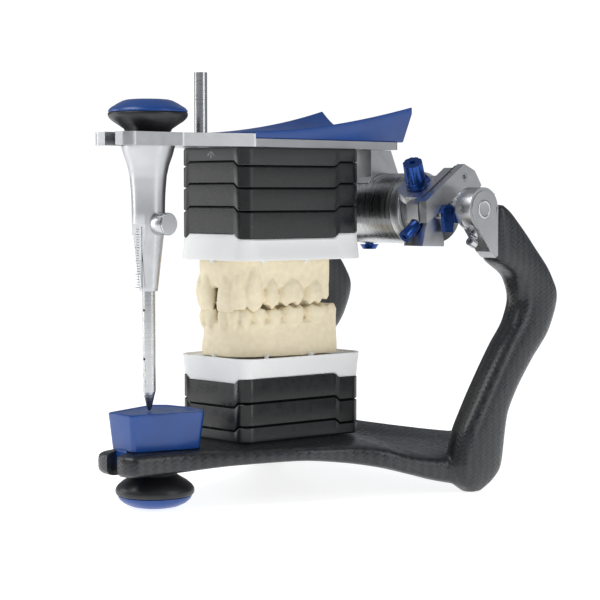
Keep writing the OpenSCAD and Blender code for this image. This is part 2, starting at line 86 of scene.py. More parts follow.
def loft(name, rings, material):
    """A closed skin over rings that all have the same number of points, in millimetres."""
    n = len(rings[0])
    verts = [p for ring in rings for p in ring]
    faces = [(j * n + i, j * n + (i + 1) % n, (j + 1) * n + (i + 1) % n, (j + 1) * n + i)
             for j in range(len(rings) - 1) for i in range(n)]
    faces.append(tuple(range(n - 1, -1, -1)))
    faces.append(tuple((len(rings) - 1) * n + i for i in range(n)))
    return mesh_object(name, verts, faces, material)


def lathe(name, profile, centre, material, steps, axis=(0, 0, 1)):
    """A turned piece: profile is (radius, height) pairs along the axis, in millimetres from centre."""
    turn = Vector((0, 0, 1)).rotation_difference(Vector(axis)).to_matrix()
    centre = Vector(centre)
    rings = []
    for r, h in profile:
        ring = []
        for i in range(steps):
            a = 2 * math.pi * i / steps
            ring.append(centre + turn @ Vector((r * math.cos(a), r * math.sin(a), h)))
        rings.append(ring)
    return loft(name, rings, material)


def apply_modifiers(obj):
    """Replaces an own piece's mesh by its modified mesh."""
    bpy.context.view_layer.update()
    graph = bpy.context.evaluated_depsgraph_get()
    data = bpy.data.meshes.new_from_object(obj.evaluated_get(graph))
    obj.modifiers.clear()
    obj.data = data


def bevel(obj, width, segments=3, angle=32):
    """Rounds an object's sharp edges; width is in millimetres."""
    m = obj.modifiers.new("bevel", "BEVEL")
    m.width = width * MM
    m.segments = segments
    m.limit_method = "ANGLE"
    m.angle_limit = math.radians(angle)
    m.harden_normals = True
    m.use_clamp_overlap = True


def cut(obj, cutter):
    """Cuts an own piece with another one, which is then deleted."""
    m = obj.modifiers.new("cut", "BOOLEAN")
    m.operation = "DIFFERENCE"
    m.solver = "EXACT"
    m.object = cutter
    apply_modifiers(obj)
    bpy.data.objects.remove(cutter)


def join(objs, name):
    """Joins own pieces into one object."""
    joined = bmesh.new()
    for o in objs:
        joined.from_mesh(o.data)
    data = bpy.data.meshes.new(name)
    joined.to_mesh(data)
    joined.free()
    out = bpy.data.objects.new(name, data)
    bpy.context.scene.collection.objects.link(out)
    for m in objs[0].data.materials:
        data.materials.append(m)
    for o in objs:
        bpy.data.objects.remove(o)
    for p in data.polygons:
        p.use_smooth = True
    return out


def remesh(obj, voxel, smooth_steps):
    """Fuses an own piece's overlapping solids into one skin with soft inner corners."""
    m = obj.modifiers.new("fuse", "REMESH")
    m.mode = "VOXEL"
    m.voxel_size = voxel * MM
    m.use_smooth_shade = True
    s = obj.modifiers.new("soften", "SMOOTH")
    s.factor = 0.5
    s.iterations = smooth_steps
    apply_modifiers(obj)
    for p in obj.data.polygons:
        p.use_smooth = True


# faces of a box whose points 0 to 3 run round its bottom and 4 to 7 round its top
BOX_FACES = [(3, 2, 1, 0), (4, 5, 6, 7), (0, 1, 5, 4), (1, 2, 6, 5), (2, 3, 7, 6), (3, 0, 4, 7)]


def box_cutter(low, high):
    """A box between two corners, to cut with or to join to a piece."""
    x0, y0, z0 = low
    x1, y1, z1 = high
    plan = [(x0, y0), (x1, y0), (x1, y1), (x0, y1)]
    corners = [(x, y, z) for z in (z0, z1) for x, y in plan]
    return mesh_object("cutter", corners, BOX_FACES, None, smooth=False)


def mirrored(obj, name):
    """A copy of an own piece on the other side of the YZ plane."""
    copy = obj.copy()
    copy.data = obj.data.copy()
    copy.name = name
    copy.data.transform(Matrix.Scale(-1, 4, Vector((1, 0, 0))))
    copy.data.flip_normals()
    bpy.context.scene.collection.objects.link(copy)
    return copy


def place(obj, body, *replaced, slot=None):
    """Makes a piece ride on a body and stand for CAD nodes."""
    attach(obj, body)
    if replaced:
        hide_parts(*replaced)


# ---------------------------------------------------------------- materials
class Shader:
    """A material with its nodes, built step by step."""

    def __init__(self, name, colour, roughness, metallic=0.0, coat=0.0, coat_roughness=0.2,
                 specular=0.5):
        self.material = bpy.data.materials.new(name)
        self.material.use_nodes = True
        self.tree = self.material.node_tree
        self.bsdf = self.tree.nodes["Principled BSDF"]
        self.colour = colour
        self.roughness = roughness
        self.bsdf.inputs["Base Color"].default_value = colour
        self.bsdf.inputs["Roughness"].default_value = roughness
        self.bsdf.inputs["Metallic"].default_value = metallic
        self.bsdf.inputs["Coat Weight"].default_value = coat
        self.bsdf.inputs["Coat Roughness"].default_value = coat_roughness
        self.bsdf.inputs["Specular IOR Level"].default_value = specular
        self.coords = self.node("ShaderNodeTexCoord")
        self.height = None

    def node(self, kind):
        return self.tree.nodes.new(kind)

    def put(self, node, key, value):
        """Sets a node's input, by name or number, to a number or to another node's output."""
        socket = node.inputs[key]
        if isinstance(value, bpy.types.NodeSocket):
            self.tree.links.new(value, socket)
        else:
            socket.default_value = value

    def math(self, operation, a, b=0.0, clamp=False):
        n = self.tree.nodes.new("ShaderNodeMath")
        n.operation = operation
        n.use_clamp = clamp
        self.put(n, 0, a)
        self.put(n, 1, b)
        return n.outputs[0]

    def mix(self, factor, a, b):
        n = self.tree.nodes.new("ShaderNodeMix")
        n.data_type = "RGBA"
        self.put(n, 0, factor)
        self.put(n, 6, a)
        self.put(n, 7, b)
        return n.outputs[2]

    def scaled(self, scale):
        """Object coordinates in millimetres, times scale along each axis."""
        n = self.node("ShaderNodeMapping")
        self.put(n, "Vector", self.coords.outputs["Object"])
        n.inputs["Scale"].default_value = [1000 * s for s in scale]
        return n.outputs[0]

    def noise(self, scale, detail=3.0, rough=0.5):
        n = self.node("ShaderNodeTexNoise")
        self.put(n, "Vector", self.scaled(scale))
        n.inputs["Scale"].default_value = 1.0
        n.inputs["Detail"].default_value = detail
        n.inputs["Roughness"].default_value = rough
        return n.outputs["Fac"]

    def ramp(self, value, low, high, out_low, out_high):
        n = self.tree.nodes.new("ShaderNodeMapRange")
        for key, v in (("Value", value), ("From Min", low), ("From Max", high), ("To Min", out_low),
                       ("To Max", out_high)):
            self.put(n, key, v)
        return n.outputs[0]

    def vary_roughness(self, value, spread):
        """Lets a noise between 0.3 and 0.7 move the roughness by spread each way."""
        self.put(self.bsdf, "Roughness",
                 self.ramp(value, 0.3, 0.7, self.roughness - spread, self.roughness + spread))

    def vary_colour(self, value, darker, lighter):
        """Lets a noise between 0.3 and 0.7 move the colour between two multiples of itself."""
        dark = [c * darker for c in self.colour[:3]] + [1.0]
        light = [min(1.0, c * lighter) for c in self.colour[:3]] + [1.0]
        self.put(self.bsdf, "Base Color", self.mix(self.ramp(value, 0.3, 0.7, 0.0, 1.0), dark, light))

    def bump(self, value, distance):
        """Adds a bump; distance is its depth in millimetres."""
        n = self.tree.nodes.new("ShaderNodeBump")
        self.put(n, "Height", value)
        n.inputs["Distance"].default_value = distance * MM
        n.inputs["Strength"].default_value = 1.0
        if self.height:
            self.put(n, "Normal", self.height)
        self.height = n.outputs[0]
        self.put(self.bsdf, "Normal", self.height)


def satin_metal(name, colour, roughness):
    """Bead-blasted aluminium: a fine even grain with soft cloudy wear."""
    s = Shader(name, colour, roughness, metallic=1.0)
    s.vary_roughness(s.noise((0.25, 0.25, 0.25)), 0.05)
    s.vary_colour(s.noise((0.08, 0.08, 0.08)), 0.94, 1.04)
    s.bump(s.noise((9, 9, 9), 2.0), 0.012)
    return s.material


def turned_metal(name, colour, roughness, along, pitch=2.5):
    """Turned metal: fine rings, about pitch in each millimetre, round the axis along, "x" or "z"."""
    s = Shader(name, colour, roughness, metallic=1.0)
    fine = (pitch, 0.02, 0.02) if along == "x" else (0.02, 0.02, pitch)
    s.vary_roughness(s.noise(fine, 1.0), 0.05)
    s.vary_colour(s.noise([v * 0.5 for v in fine], 2.0), 0.92, 1.04)
    s.bump(s.noise(fine, 1.0), 0.0015)
    return s.material


def moulded_plastic(name, colour, roughness, grain=6.0, depth=0.02, coat=0.0, darker=0.9,
                    lighter=1.08):
    """Moulded plastic with a fine grain, which has grain bumps in each millimetre, depth millimetres deep."""
    s = Shader(name, colour, roughness, coat=coat)
    s.vary_roughness(s.noise((0.3, 0.3, 0.3)), 0.05)
    s.vary_colour(s.noise((0.1, 0.1, 0.1)), darker, lighter)
    s.bump(s.noise((grain, grain, grain), 2.0), depth)
    return s.material


def anodised(name, colour, roughness):
    """Dyed anodised aluminium under its clear layer."""
    s = Shader(name, colour, roughness, metallic=0.85, coat=0.3, coat_roughness=0.15)
    s.vary_roughness(s.noise((1.5, 1.5, 1.5)), 0.06)
    s.vary_colour(s.noise((0.4, 0.4, 0.4)), 0.85, 1.15)
    s.bump(s.noise((7, 7, 7), 2.0), 0.008)
    return s.material


def stone_plaster(name, colour):
    """Dental stone: matt, slightly mottled, with tiny pores."""
    s = Shader(name, colour, 0.62, specular=0.35)
    s.bsdf.inputs["Subsurface Weight"].default_value = 0.12
    s.bsdf.inputs["Subsurface Radius"].default_value = (0.0012, 0.0008, 0.0005)
    s.bsdf.inputs["Subsurface Scale"].default_value = 1.0
    s.vary_colour(s.noise((0.35, 0.35, 0.35), 4.0), 0.93, 1.05)
    s.bump(s.noise((1.1, 1.1, 1.1), 4.0), 0.05)
    s.bump(s.noise((6, 6, 6), 2.0), 0.02)
    return s.material


def carbon_weave(name):
    """Lacquered carbon cloth: a twill of warp and weft cells, laid on the side that each face looks to."""
    s = Shader(name, srgb(22, 23, 25), 0.42, coat=0.3, coat_roughness=0.25)
    cell = 1.45  # width of one crossing of the cloth
    xyz = s.node("ShaderNodeSeparateXYZ")
    s.put(xyz, 0, s.scaled((1 / cell, 1 / cell, 1 / cell)))
    facing = s.node("ShaderNodeSeparateXYZ")
    s.put(facing, 0, s.coords.outputs["Normal"])
    x, y, z = xyz.outputs
    side = s.math("GREATER_THAN", s.math("ABSOLUTE", facing.outputs[0]), 0.62)
    flat = s.math("GREATER_THAN", s.math("ABSOLUTE", facing.outputs[2]), 0.72)

    def choose(mask, a, b):
        return s.math("ADD", s.math("MULTIPLY", mask, a), s.math("MULTIPLY", s.math("SUBTRACT", 1.0, mask), b))
    u0 = choose(side, y, x)
    v0 = choose(flat, y, z)
    v0 = choose(side, z, v0)
    # the cloth lies at 45 degrees to the object
    u = s.math("MULTIPLY", s.math("ADD", u0, v0), 0.7071)
    v = s.math("MULTIPLY", s.math("SUBTRACT", u0, v0), 0.7071)
    iu, iv = s.math("FLOOR", u), s.math("FLOOR", v)
    step = s.math("FLOORED_MODULO", s.math("ADD", iu, iv), 4.0)
    warp = s.math("LESS_THAN", step, 1.5)
    fu, fv = s.math("FRACT", u), s.math("FRACT", v)
    across = choose(warp, fu, fv)
    crown = s.math("SINE", s.math("MULTIPLY", across, math.pi))
    cell_id = s.node("ShaderNodeCombineXYZ")
    s.put(cell_id, 0, iu)
    s.put(cell_id, 1, iv)
    tint = s.node("ShaderNodeTexWhiteNoise")
    tint.noise_dimensions = "3D"
    s.put(tint, "Vector", cell_id.outputs[0])
    spark = s.math("POWER", tint.outputs["Value"], 3.0)
    level = s.math("ADD", s.math("MULTIPLY", warp, 0.35), s.math("MULTIPLY", spark, 0.65), clamp=True)
    s.put(s.bsdf, "Base Color", s.mix(level, srgb(15, 16, 18), srgb(50, 52, 56)))
    s.put(s.bsdf, "Metallic", s.math("MULTIPLY", spark, 0.6))
    s.put(s.bsdf, "Roughness", s.ramp(tint.outputs["Value"], 0.0, 1.0, 0.5, 0.3))
    s.bump(s.math("MULTIPLY", crown, s.math("ADD", 0.6, s.math("MULTIPLY", spark, 0.6))), 0.09)
    return s.material


MAT = {
    "carbon": carbon_weave("carbon_weave"),
    "satin_aluminium": satin_metal("satin_aluminium", srgb(186, 187, 189), 0.33),
    "turned_x": turned_metal("turned_metal_across", srgb(190, 191, 192), 0.27, "x"),
    "turned_z": turned_metal("turned_metal_upright", srgb(190, 191, 192), 0.3, "z"),
    "bright_steel": turned_metal("bright_steel", srgb(225, 226, 228), 0.13, "x", 3.0),
    "screw_steel": turned_metal("screw_steel", srgb(190, 190, 192), 0.24, "z", 3.0),
    "dark_steel": turned_metal("dark_steel", srgb(110, 111, 114), 0.3, "z", 3.0),
    "blue_plastic": moulded_plastic("blue_plastic", srgb(14, 66, 138), 0.34, depth=0.015,
                                    coat=0.15),
    "black_plastic": moulded_plastic("black_plastic", srgb(24, 24, 26), 0.4, depth=0.02),
    "grey_plate": moulded_plastic("grey_plate", srgb(30, 31, 33), 0.32, grain=1.2, depth=0.003),
    "black_plate": moulded_plastic("black_plate", srgb(8, 9, 10), 0.3, grain=1.2, depth=0.003),
    "white_plastic": moulded_plastic("white_plastic", srgb(236, 236, 235), 0.4, depth=0.01,
                                     darker=0.985, lighter=1.0),
    "model_stone": stone_plaster("model_stone", srgb(238, 226, 196)),
    "blue_anodised": anodised("blue_anodised", srgb(20, 66, 140), 0.24),
    # dark ink for the printed marks, also used as painted shade for the groove beside each guide bar
    "ink_and_shade": moulded_plastic("scale_ink_and_shade", srgb(30, 31, 33), 0.5, depth=0.004),
    "print": moulded_plastic("light_print", srgb(150, 151, 153), 0.5, depth=0.004),
}

# material and bevel width of each CAD node; those that a Blender piece replaces need no bevel
FINISH = {
    "satin_aluminium": (("hinge_bracket_right", 0.5), ("hinge_bracket_left", 0.5), ("axis_saddle", 0.6),
                        ("tube_flange_right", 0.35), ("tube_flange_left", 0.35), ("upper_plate", 0.35),
                        ("condylar_housing_right", 0.35), ("condylar_housing_left", 0.35),
                        ("guide_bar_right", 0.4), ("guide_bar_left", 0.4), ("pin_sleeve", 0.2)),
    "turned_x": (("cross_tube", 0.4), ("pin_thumbscrew", 0.3)),
    "turned_z": (("incisal_pin", 0.1), ("support_rod", 0.3)),
    "bright_steel": (("condyle_axle_right", 0.3), ("condyle_axle_left", 0.3), ("thumbscrew_face", 0.2),
                     ("stop_pins", 0.15)),
    "screw_steel": (("bracket_screws", 0.15), ("axle_set_screws", 0.15), ("foot_stud", 0.2),
                    ("clamp_stud", 0.2),
                    ("wing_screws", 0.15), ("guide_screws_right", 0.15), ("guide_screws_left", 0.15)),
    "dark_steel": (("pin_tip", 0.1),),
    "blue_plastic": (("incisal_table", 0), ("foot_cap", 0), ("handle_wing", 0),
                     ("clamp_knob_cap", 0)),
    "black_plastic": (("foot_ring", 0), ("clamp_knob_base", 0)),
    "grey_plate": (("lower_mount_plate", 0), ("upper_mount_plate", 0)),
    "black_plate": (("lower_spacer_1", 0), ("lower_spacer_2", 0), ("upper_spacer_1", 0),
                    ("upper_spacer_2", 0), ("upper_spacer_3", 0)),
    "white_plastic": (("lower_tray", 0), ("upper_tray", 0)),
    "model_stone": (("lower_model", 0), ("upper_model", 0)),
    "blue_anodised": (("axis_lock_knob", 0.3), ("dial_knob_right", 0.25), ("dial_knob_left", 0.25),
                      ("clamp_screw_right", 0.3), ("clamp_screw_left", 0.3), ("lock_lever_right", 0.3),
                      ("lock_lever_left", 0.3)),
    "carbon": (("carbon_frame", 0),),
}


def finish_nodes():
    """Gives every CAD node its material and rounds the edges of those that are seen."""
    for slot, members in FINISH.items():
        for node, width in members:
            obj = NODES[node]
            obj.data.materials.clear()
            obj.data.materials.append(MAT[slot])
            if width:
                # the imported mesh is split at its edges, so it is welded before it is bevelled
                weld = obj.modifiers.new("weld", "WELD")
                weld.merge_threshold = 0.002 * MM
                bevel(obj, width)


# ---------------------------------------------------------------- shapes
def refine(rows, per_span):
    """Rows of numbers with smooth in-between rows added, with no overshoot."""
    out = []
    last = len(rows) - 1
    width = len(rows[0])

    def slope(i, k):
        if i in (0, last):
            j = 0 if i == 0 else last - 1
            return rows[j + 1][k] - rows[j][k]
        before, after = rows[i][k] - rows[i - 1][k], rows[i + 1][k] - rows[i][k]
        if before * after <= 0:
            return 0.0
        return 2 * before * after / (before + after)
    for i in range(last):
        for step in range(per_span):
            t = step / per_span
            a, b = 2 * t ** 3 - 3 * t ** 2 + 1, t ** 3 - 2 * t ** 2 + t
            c, d = -2 * t ** 3 + 3 * t ** 2, t ** 3 - t ** 2
            out.append([a * rows[i][k] + b * slope(i, k) + c * rows[i + 1][k] + d * slope(i + 1, k)
                        for k in range(width)])
    out.append(list(rows[last]))
    return out


# stations of the base: y, half width, top mid, top edge, underside edge, underside mid
BASE = [
    (-102, 8.5, 23.4, 23.4, 16.6, 16.6), (-99.5, 12.4, 24.6, 24.6, 14.9, 14.9), (-92, 14, 25, 25, 14.7, 14.7),
    (-78, 18, 25, 25, 15.1, 15.1), (-57, 28, 25, 25, 16.6, 17), (-33, 40, 25, 25, 17.2, 18),
    (-11, 48, 25, 25, 14.4, 17.5), (4, 55.5, 25, 23.6, 11, 16.5), (18, 60.5, 24.6, 19.4, 6.6, 15),
    (30, 64.4, 18.5, 18.4, 2.8, 11), (42, 67.5, 17.2, 20, 0, 9.5), (52, 69, 18, 22, 0.4, 10),
    (60, 69, 20.4, 24, 6, 12.5), (66, 66, 22, 24, 14, 17)]
# stations of a leg: front y, front z, rear y, rear z, half width
LEG = [
    (43, 0, 51, 0, 3.6), (37, 4.6, 58, 4.6, 6.4), (34, 12, 63, 10, 7.6), (37, 25, 65, 22, 8),
    (44.5, 37.5, 66.5, 32, 8), (51, 47, 71.5, 41.5, 8), (63.5, 64, 82.5, 55, 8), (72.5, 75, 96.5, 70, 8),
    (75.5, 84, 102, 84.5, 8), (72, 93.5, 97, 95, 8), (58.5, 102.5, 84.5, 108.5, 8),
    (57.4, 109, 76, 116.5, 7.8), (57.4, 119, 66.5, 124, 7.4), (57.4, 125.4, 61.5, 126.6, 6.4)]
LEG_X = 66
# open slot for the incisal table's tongue, from the front of the base to a round end
SLOT_HALF = 3.4
SLOT_END_Y = -77.3


def base_ring(s, n=96):
    """One section of the base: a squared oval whose top and underside may be dished."""
    y, w, top_mid, top_edge, low_edge, low_mid = s
    middle = (top_edge + low_edge) / 2
    ring = []
    for i in range(n):
        a = -2 * math.pi * i / n
        across = signed_power(math.cos(a), 0.5)
        v = signed_power(math.sin(a), 0.42)
        q = across ** 2
        top, low = lerp(top_mid, top_edge, q), lerp(low_mid, low_edge, q)
        ring.append((w * across, y, middle + v * ((top - middle) if v > 0 else (middle - low))))
    return ring


def leg_ring(s, n=72):
    """One section of the right leg: an oval between its front and its rear line."""
    front_y, front_z, rear_y, rear_z, half = s
    ring = []
    for i in range(n):
        a = 2 * math.pi * i / n
        t = (1 + signed_power(math.sin(a), 0.7)) / 2
        ring.append((LEG_X + half * signed_power(math.cos(a), 0.7), lerp(front_y, rear_y, t),
                     lerp(front_z, rear_z, t)))
    return ring


def build_frame():
    """Carbon frame: base and legs fused into one skin, with the table's slot cut in the front."""
    base = loft("base", [base_ring(s) for s in refine(BASE, 5)], MAT["carbon"])
    leg = loft("leg", [leg_ring(s) for s in refine(LEG, 6)], MAT["carbon"])
    skin = join([base, leg, mirrored(leg, "leg_left")], "carbon_frame_skin")
    remesh(skin, 0.9, 5)
    past_front, past_top = -110, 40
    cut(skin, box_cutter((-SLOT_HALF, past_front, 0), (SLOT_HALF, SLOT_END_Y, past_top)))
    end = lathe("slot_end", [(SLOT_HALF, 0), (SLOT_HALF, past_top)], (0, SLOT_END_Y, 0), None, 48)
    cut(skin, end)
    for p in skin.data.polygons:
        p.use_smooth = True
    skin.data.set_sharp_from_angle(angle=math.radians(40))
    place(skin, "lower_frame", "carbon_frame", slot="carbon")


# ---- handle wing
# seat is its flat underside, middle the lowest line of its top; tip and spread are the rise of its
# sides and its widening at the rear
WING = dict(front=-43.5, rear=48.2, seat=154.4, middle=157.4, half=24.0, tip=12.8, spread=5)


def wing_ring(y, n=28):
    """One section of the wing: a saddle whose sides rise and spread towards the rear."""
    part = (y - WING["front"]) / (WING["rear"] - WING["front"])
    rise = 0.4 + WING["tip"] * part ** 1.75
    half = WING["half"] + WING["spread"] * part ** 2.4
    ring = [(half * i / n, y, WING["middle"] + rise * abs(i / n) ** 2.2) for i in range(-n, n + 1)]
    seat_half = WING["half"] - 0.5
    side_z = WING["seat"] + 0.9 * rise + 1
    ring += [(half, y, side_z), (seat_half, y, WING["seat"]), (-seat_half, y, WING["seat"]),
             (-half, y, side_z)]
    return ring


def build_wing():
    """Blue wing on the upper plate, for the palm."""
    steps = 40
    rings = [wing_ring(lerp(WING["front"], WING["rear"], k / steps)) for k in range(steps + 1)]
    wing = loft("handle_wing_skin", rings, MAT["blue_plastic"])
    bevel(wing, 0.6, 4, 30)
    place(wing, "upper_frame", "handle_wing", slot="blue_plastic")


# ---- turned knobs: (radius, height) profiles
def build_knobs():
    """The foot under the frame and the clamp knob on the upper plate, each with a blue cap."""
    foot = (0, -79.3, 0)
    clamp = (0, -82.1, 0)
    parts = (
        ("foot_cap", foot, "foot_knob", "blue_plastic",
         [(0.01, 0), (5, 0), (7.6, 0.12), (10.6, 0.75), (13.4, 2.1), (14.9, 3.4), (15.5, 4.4),
          (15.6, 5.1), (15.3, 5.2), (0.01, 5.2)]),
        ("foot_ring", foot, "foot_knob", "black_plastic",
         [(0.01, 5.25), (15.2, 5.25), (16.1, 5.5), (16.5, 6.1), (16.6, 7.0), (16.45, 8.0),
          (15.6, 9.3), (13.6, 11.0), (11.4, 12.3), (9.8, 13.3), (9.3, 13.9), (9.2, 14.5),
          (0.01, 14.5)]),
        ("clamp_knob_base", clamp, "clamp_knob", "black_plastic",
         [(0.01, 156.8), (9.2, 156.8), (9.6, 157.1), (10, 158), (12.2, 159.5), (14.8, 161.2),
          (16.1, 162.5), (16.55, 163.5), (16.6, 164.4), (16.2, 164.8), (0.01, 164.8)]),
        ("clamp_knob_cap", clamp, "clamp_knob", "blue_plastic",
         [(0.01, 164.85), (16.1, 164.85), (16.5, 165.0), (16.4, 165.6), (15.6, 166.6),
          (15.0, 167.0), (12.4, 168.6), (10.4, 169.6), (8.8, 170.05), (7.2, 170.2),
          (0.01, 170.2)]))
    for node, at, body, slot, profile in parts:
        knob = lathe(node + "_turned", profile, at, MAT[slot], 128)
        knob.data.set_sharp_from_angle(angle=math.radians(50))
        bevel(knob, 0.18, 3, 50)
        place(knob, body, node, slot=slot)


# ---- jaw models
# w, front and rear place the arch and a and b shape it; back is where the base ends behind it; tray, gum
# and deep are the heights of the tray's rim, of the gum line and of the root tips; rear_gum is the height
# of the base behind the last tooth, and flare how far inside the arch its foot stays. A tooth is its start
# and end along one half of the arch, its kind, and the heights of its tip and of its neck.
JAWS = {
    "upper": dict(
        w=23.0, front=-46.6, rear=-1.0, a=0.62, b=2.1, back=2.0, tray=102.7, gum=90.6, deep=97.0,
        rear_gum=84.4, flare=0.7, body="upper_frame",
        teeth=[(0.0, 0.154, "incisor", 80.6, 91.0), (0.154, 0.348, "incisor", 81.7, 91.2),
               (0.348, 0.551, "canine", 80.7, 93.4), (0.551, 0.684, "premolar", 81.9, 90.6),
               (0.684, 0.874, "molar", 83.2, 90.8), (0.874, 1.0, "molar", 83.4, 90.2)]),
    "lower": dict(
        w=22.4, front=-45.6, rear=3.0, a=0.62, b=2.0, back=7.0, tray=61.2, gum=76.8, deep=70.0,
        rear_gum=83.2, flare=0.3, body="lower_frame",
        teeth=[(0.0, 0.09, "incisor", 81.9, 75.8), (0.09, 0.244, "incisor", 82.0, 76.0),
               (0.244, 0.388, "canine", 82.8, 76.0), (0.388, 0.537, "premolar", 83.0, 76.8),
               (0.537, 0.669, "premolar", 82.4, 76.6), (0.669, 0.845, "molar", 83.0, 77.0),
               (0.845, 0.998, "molar", 83.0, 77.4)])}


def arch_at(jaw, t):
    """A point of the arch in plan; t runs from -1 at the rear left over 0 in front to 1 at the rear right."""
    return Vector((jaw["w"] * signed_power(math.sin(math.radians(90 * t)), jaw["a"]),
                   jaw["front"] + (jaw["rear"] - jaw["front"]) * abs(t) ** jaw["b"]))


def arch_frame(jaw, t):
    """Point, direction along the arch and outward direction."""
    e = 0.01
    along = (arch_at(jaw, min(1, t + e)) - arch_at(jaw, max(-1, t - e))).normalized()
    return arch_at(jaw, t), along, Vector((along.y, -along.x))


def jaw_outline(jaw, inset, n=72):
    """The base's outline in plan as (point, t): along the arch, then round behind it with t 1 or more."""
    pts = []
    for k in range(n + 1):
        t = -0.999 + 1.998 * k / n
        p, along, out = arch_frame(jaw, t)
        pts.append((p - out * inset, t))
    x = jaw["w"] - inset
    for j in range(1, 5):
        pts.append((Vector((x, lerp(jaw["rear"], jaw["back"], j / 4))), 1.0))
    for j in range(1, 10):
        pts.append((Vector((lerp(x, -x, j / 10), jaw["back"])), 1.1))
    for j in range(4, 0, -1):
        pts.append((Vector((-x, lerp(jaw["rear"], jaw["back"], j / 4))), 1.0))
    return pts


CROWNS = {
    # part of the height, width scale, depth scale, outward shift as a part of the depth
    "incisor": [(-0.5, 0.5, 0.4, -0.1), (0, 0.8, 0.86, 0), (0.3, 0.92, 1.0, 0), (0.6, 0.99, 0.8, 0.07),
                (0.85, 1.0, 0.5, 0.15), (0.96, 0.97, 0.34, 0.17), (1.0, 0.88, 0.2, 0.17)],
    "canine": [(-0.6, 0.45, 0.45, -0.1), (0, 0.78, 0.9, 0), (0.35, 0.97, 1.04, 0.02), (0.6, 0.98, 0.86, 0.07),
               (0.8, 0.76, 0.6, 0.12), (0.93, 0.46, 0.4, 0.14), (1.0, 0.16, 0.16, 0.14)],
    "premolar": [(-0.5, 0.5, 0.5, -0.1), (0, 0.82, 0.88, 0), (0.35, 1.0, 1.02, 0), (0.65, 0.96, 0.98, 0),
                 (0.82, 0.84, 0.88, 0)],
    "molar": [(-0.5, 0.6, 0.6, -0.1), (0, 0.88, 0.9, 0), (0.35, 1.0, 1.02, 0), (0.65, 0.98, 1.0, 0),
              (0.84, 0.9, 0.92, 0)]}
# cusps of the chewing teeth, in half widths along and across the arch
CUSPS = {"premolar": [(0, 0.42), (0, -0.42)],
         "molar": [(-0.44, 0.5), (0.44, 0.5), (-0.44, -0.5), (0.44, -0.5)]}
CROWN_DEPTH = {"incisor": 3.1, "canine": 3.8, "premolar": 4.3, "molar": 5.2}
ROOT_BULGE = {"incisor": 0.75, "canine": 1.0, "premolar": 0.6, "molar": 0.45}


def crown(jaw, t0, t1, kind, tip, gum, side, n=40):
    """One tooth: t0 and t1 are its ends along the arch, tip and gum its heights."""
    p, along, out = arch_frame(jaw, side * (t0 + t1) / 2)
    width = (arch_at(jaw, t1) - arch_at(jaw, t0)).length / 2
    depth = CROWN_DEPTH[kind]
    centre = p - out * (depth - 1.0)
    height = tip - gum
    rings = []

    def ring(scale_u, scale_v, shift, level, cap=None):
        row = []
        for i in range(n):
            a = 2 * math.pi * i / n
            u = signed_power(math.cos(a), 0.92) * scale_u
            v = signed_power(math.sin(a), 0.92) * scale_v
            z = level - (0.2 * (1 - (u / scale_u) ** 2) if level < 0.1 else 0.0)
            if cap is not None:
                z += cap(u, v)
            q = centre + along * (u * width) + out * (v * depth + shift * depth)
            row.append((q.x, q.y, gum + height * z))
        rings.append(row)
    for level, su, sv, shift in CROWNS[kind]:
        ring(su, sv, shift, level)
    if kind in CUSPS:
        def cap(u, v):
            hill = max(math.exp(-((u - cu) ** 2 + (v - cv) ** 2) / 0.07) for cu, cv in CUSPS[kind])
            return 0.16 * hill - 0.1 * (1 - hill)
        for s in (0.72, 0.6, 0.48, 0.34, 0.18, 0.04):
            ring(s, s, 0, 0.9, cap)
    return loft("crown", rings, MAT["model_stone"])


def root(jaw, t0, t1, kind, gum, deep, side):
    """The soft bulge of a root under the gum."""
    p, along, out = arch_frame(jaw, side * (t0 + t1) / 2)
    width = (arch_at(jaw, t1) - arch_at(jaw, t0)).length * 0.34
    bulge = ROOT_BULGE[kind]
    rings = []
    for part, swell in ((-0.15, 0.2), (0.05, 0.85), (0.3, 1.0), (0.6, 0.75), (0.85, 0.35), (1.0, 0.05)):
        row = []
        for i in range(24):
            a = 2 * math.pi * i / 24
            q = p - out * 2.2 + along * (math.cos(a) * width * (0.3 + 0.7 * swell)) \
                + out * (math.sin(a) * (0.9 + 0.8 * bulge * swell))
            row.append((q.x, q.y, lerp(gum, deep, part)))
        rings.append(row)
    return loft("root", rings, MAT["model_stone"])


def build_jaw(name):
    """A stone model of one jaw: base, crowns and roots fused into one slightly uneven skin."""
    jaw = JAWS[name]
    up = 1 if name == "lower" else -1
    outline = jaw_outline(jaw, 0.9)
    inner = jaw_outline(jaw, 2.2)
    wide = jaw_outline(jaw, jaw["flare"])

    def top_z(t):
        rise = smoothstep((abs(t) - 0.93) / 0.07) if abs(t) <= 1 else 1.0
        return lerp(jaw["gum"], jaw["rear_gum"], rise * 0.95)
    rings = []
    for part, source in ((0, wide), (0.25, wide), (0.6, outline), (0.9, outline), (1.0, inner)):
        rings.append([(p.x, p.y, lerp(jaw["tray"], top_z(t), part)) for p, t in source])
    pieces = [loft("jaw_base", rings, MAT["model_stone"])]
    for side in (1, -1):
        for t0, t1, kind, tip, gum in jaw["teeth"]:
            pieces.append(crown(jaw, t0, t1, kind, tip, gum, side))
            pieces.append(root(jaw, t0, t1, kind, jaw["gum"] + up * 0.4, jaw["deep"], side))
    model = join(pieces, name + "_jaw_model")
    remesh(model, 0.34, 7)
    normals = [v.normal.copy() for v in model.data.vertices]
    for v, normal in zip(model.data.vertices, normals):
        p = v.co / MM
        v.co += normal * (noise.noise(p * 0.16) * 0.2 + noise.noise(p * 0.5) * 0.07) * MM
    place(model, jaw["body"], name + "_model", slot="model_stone")


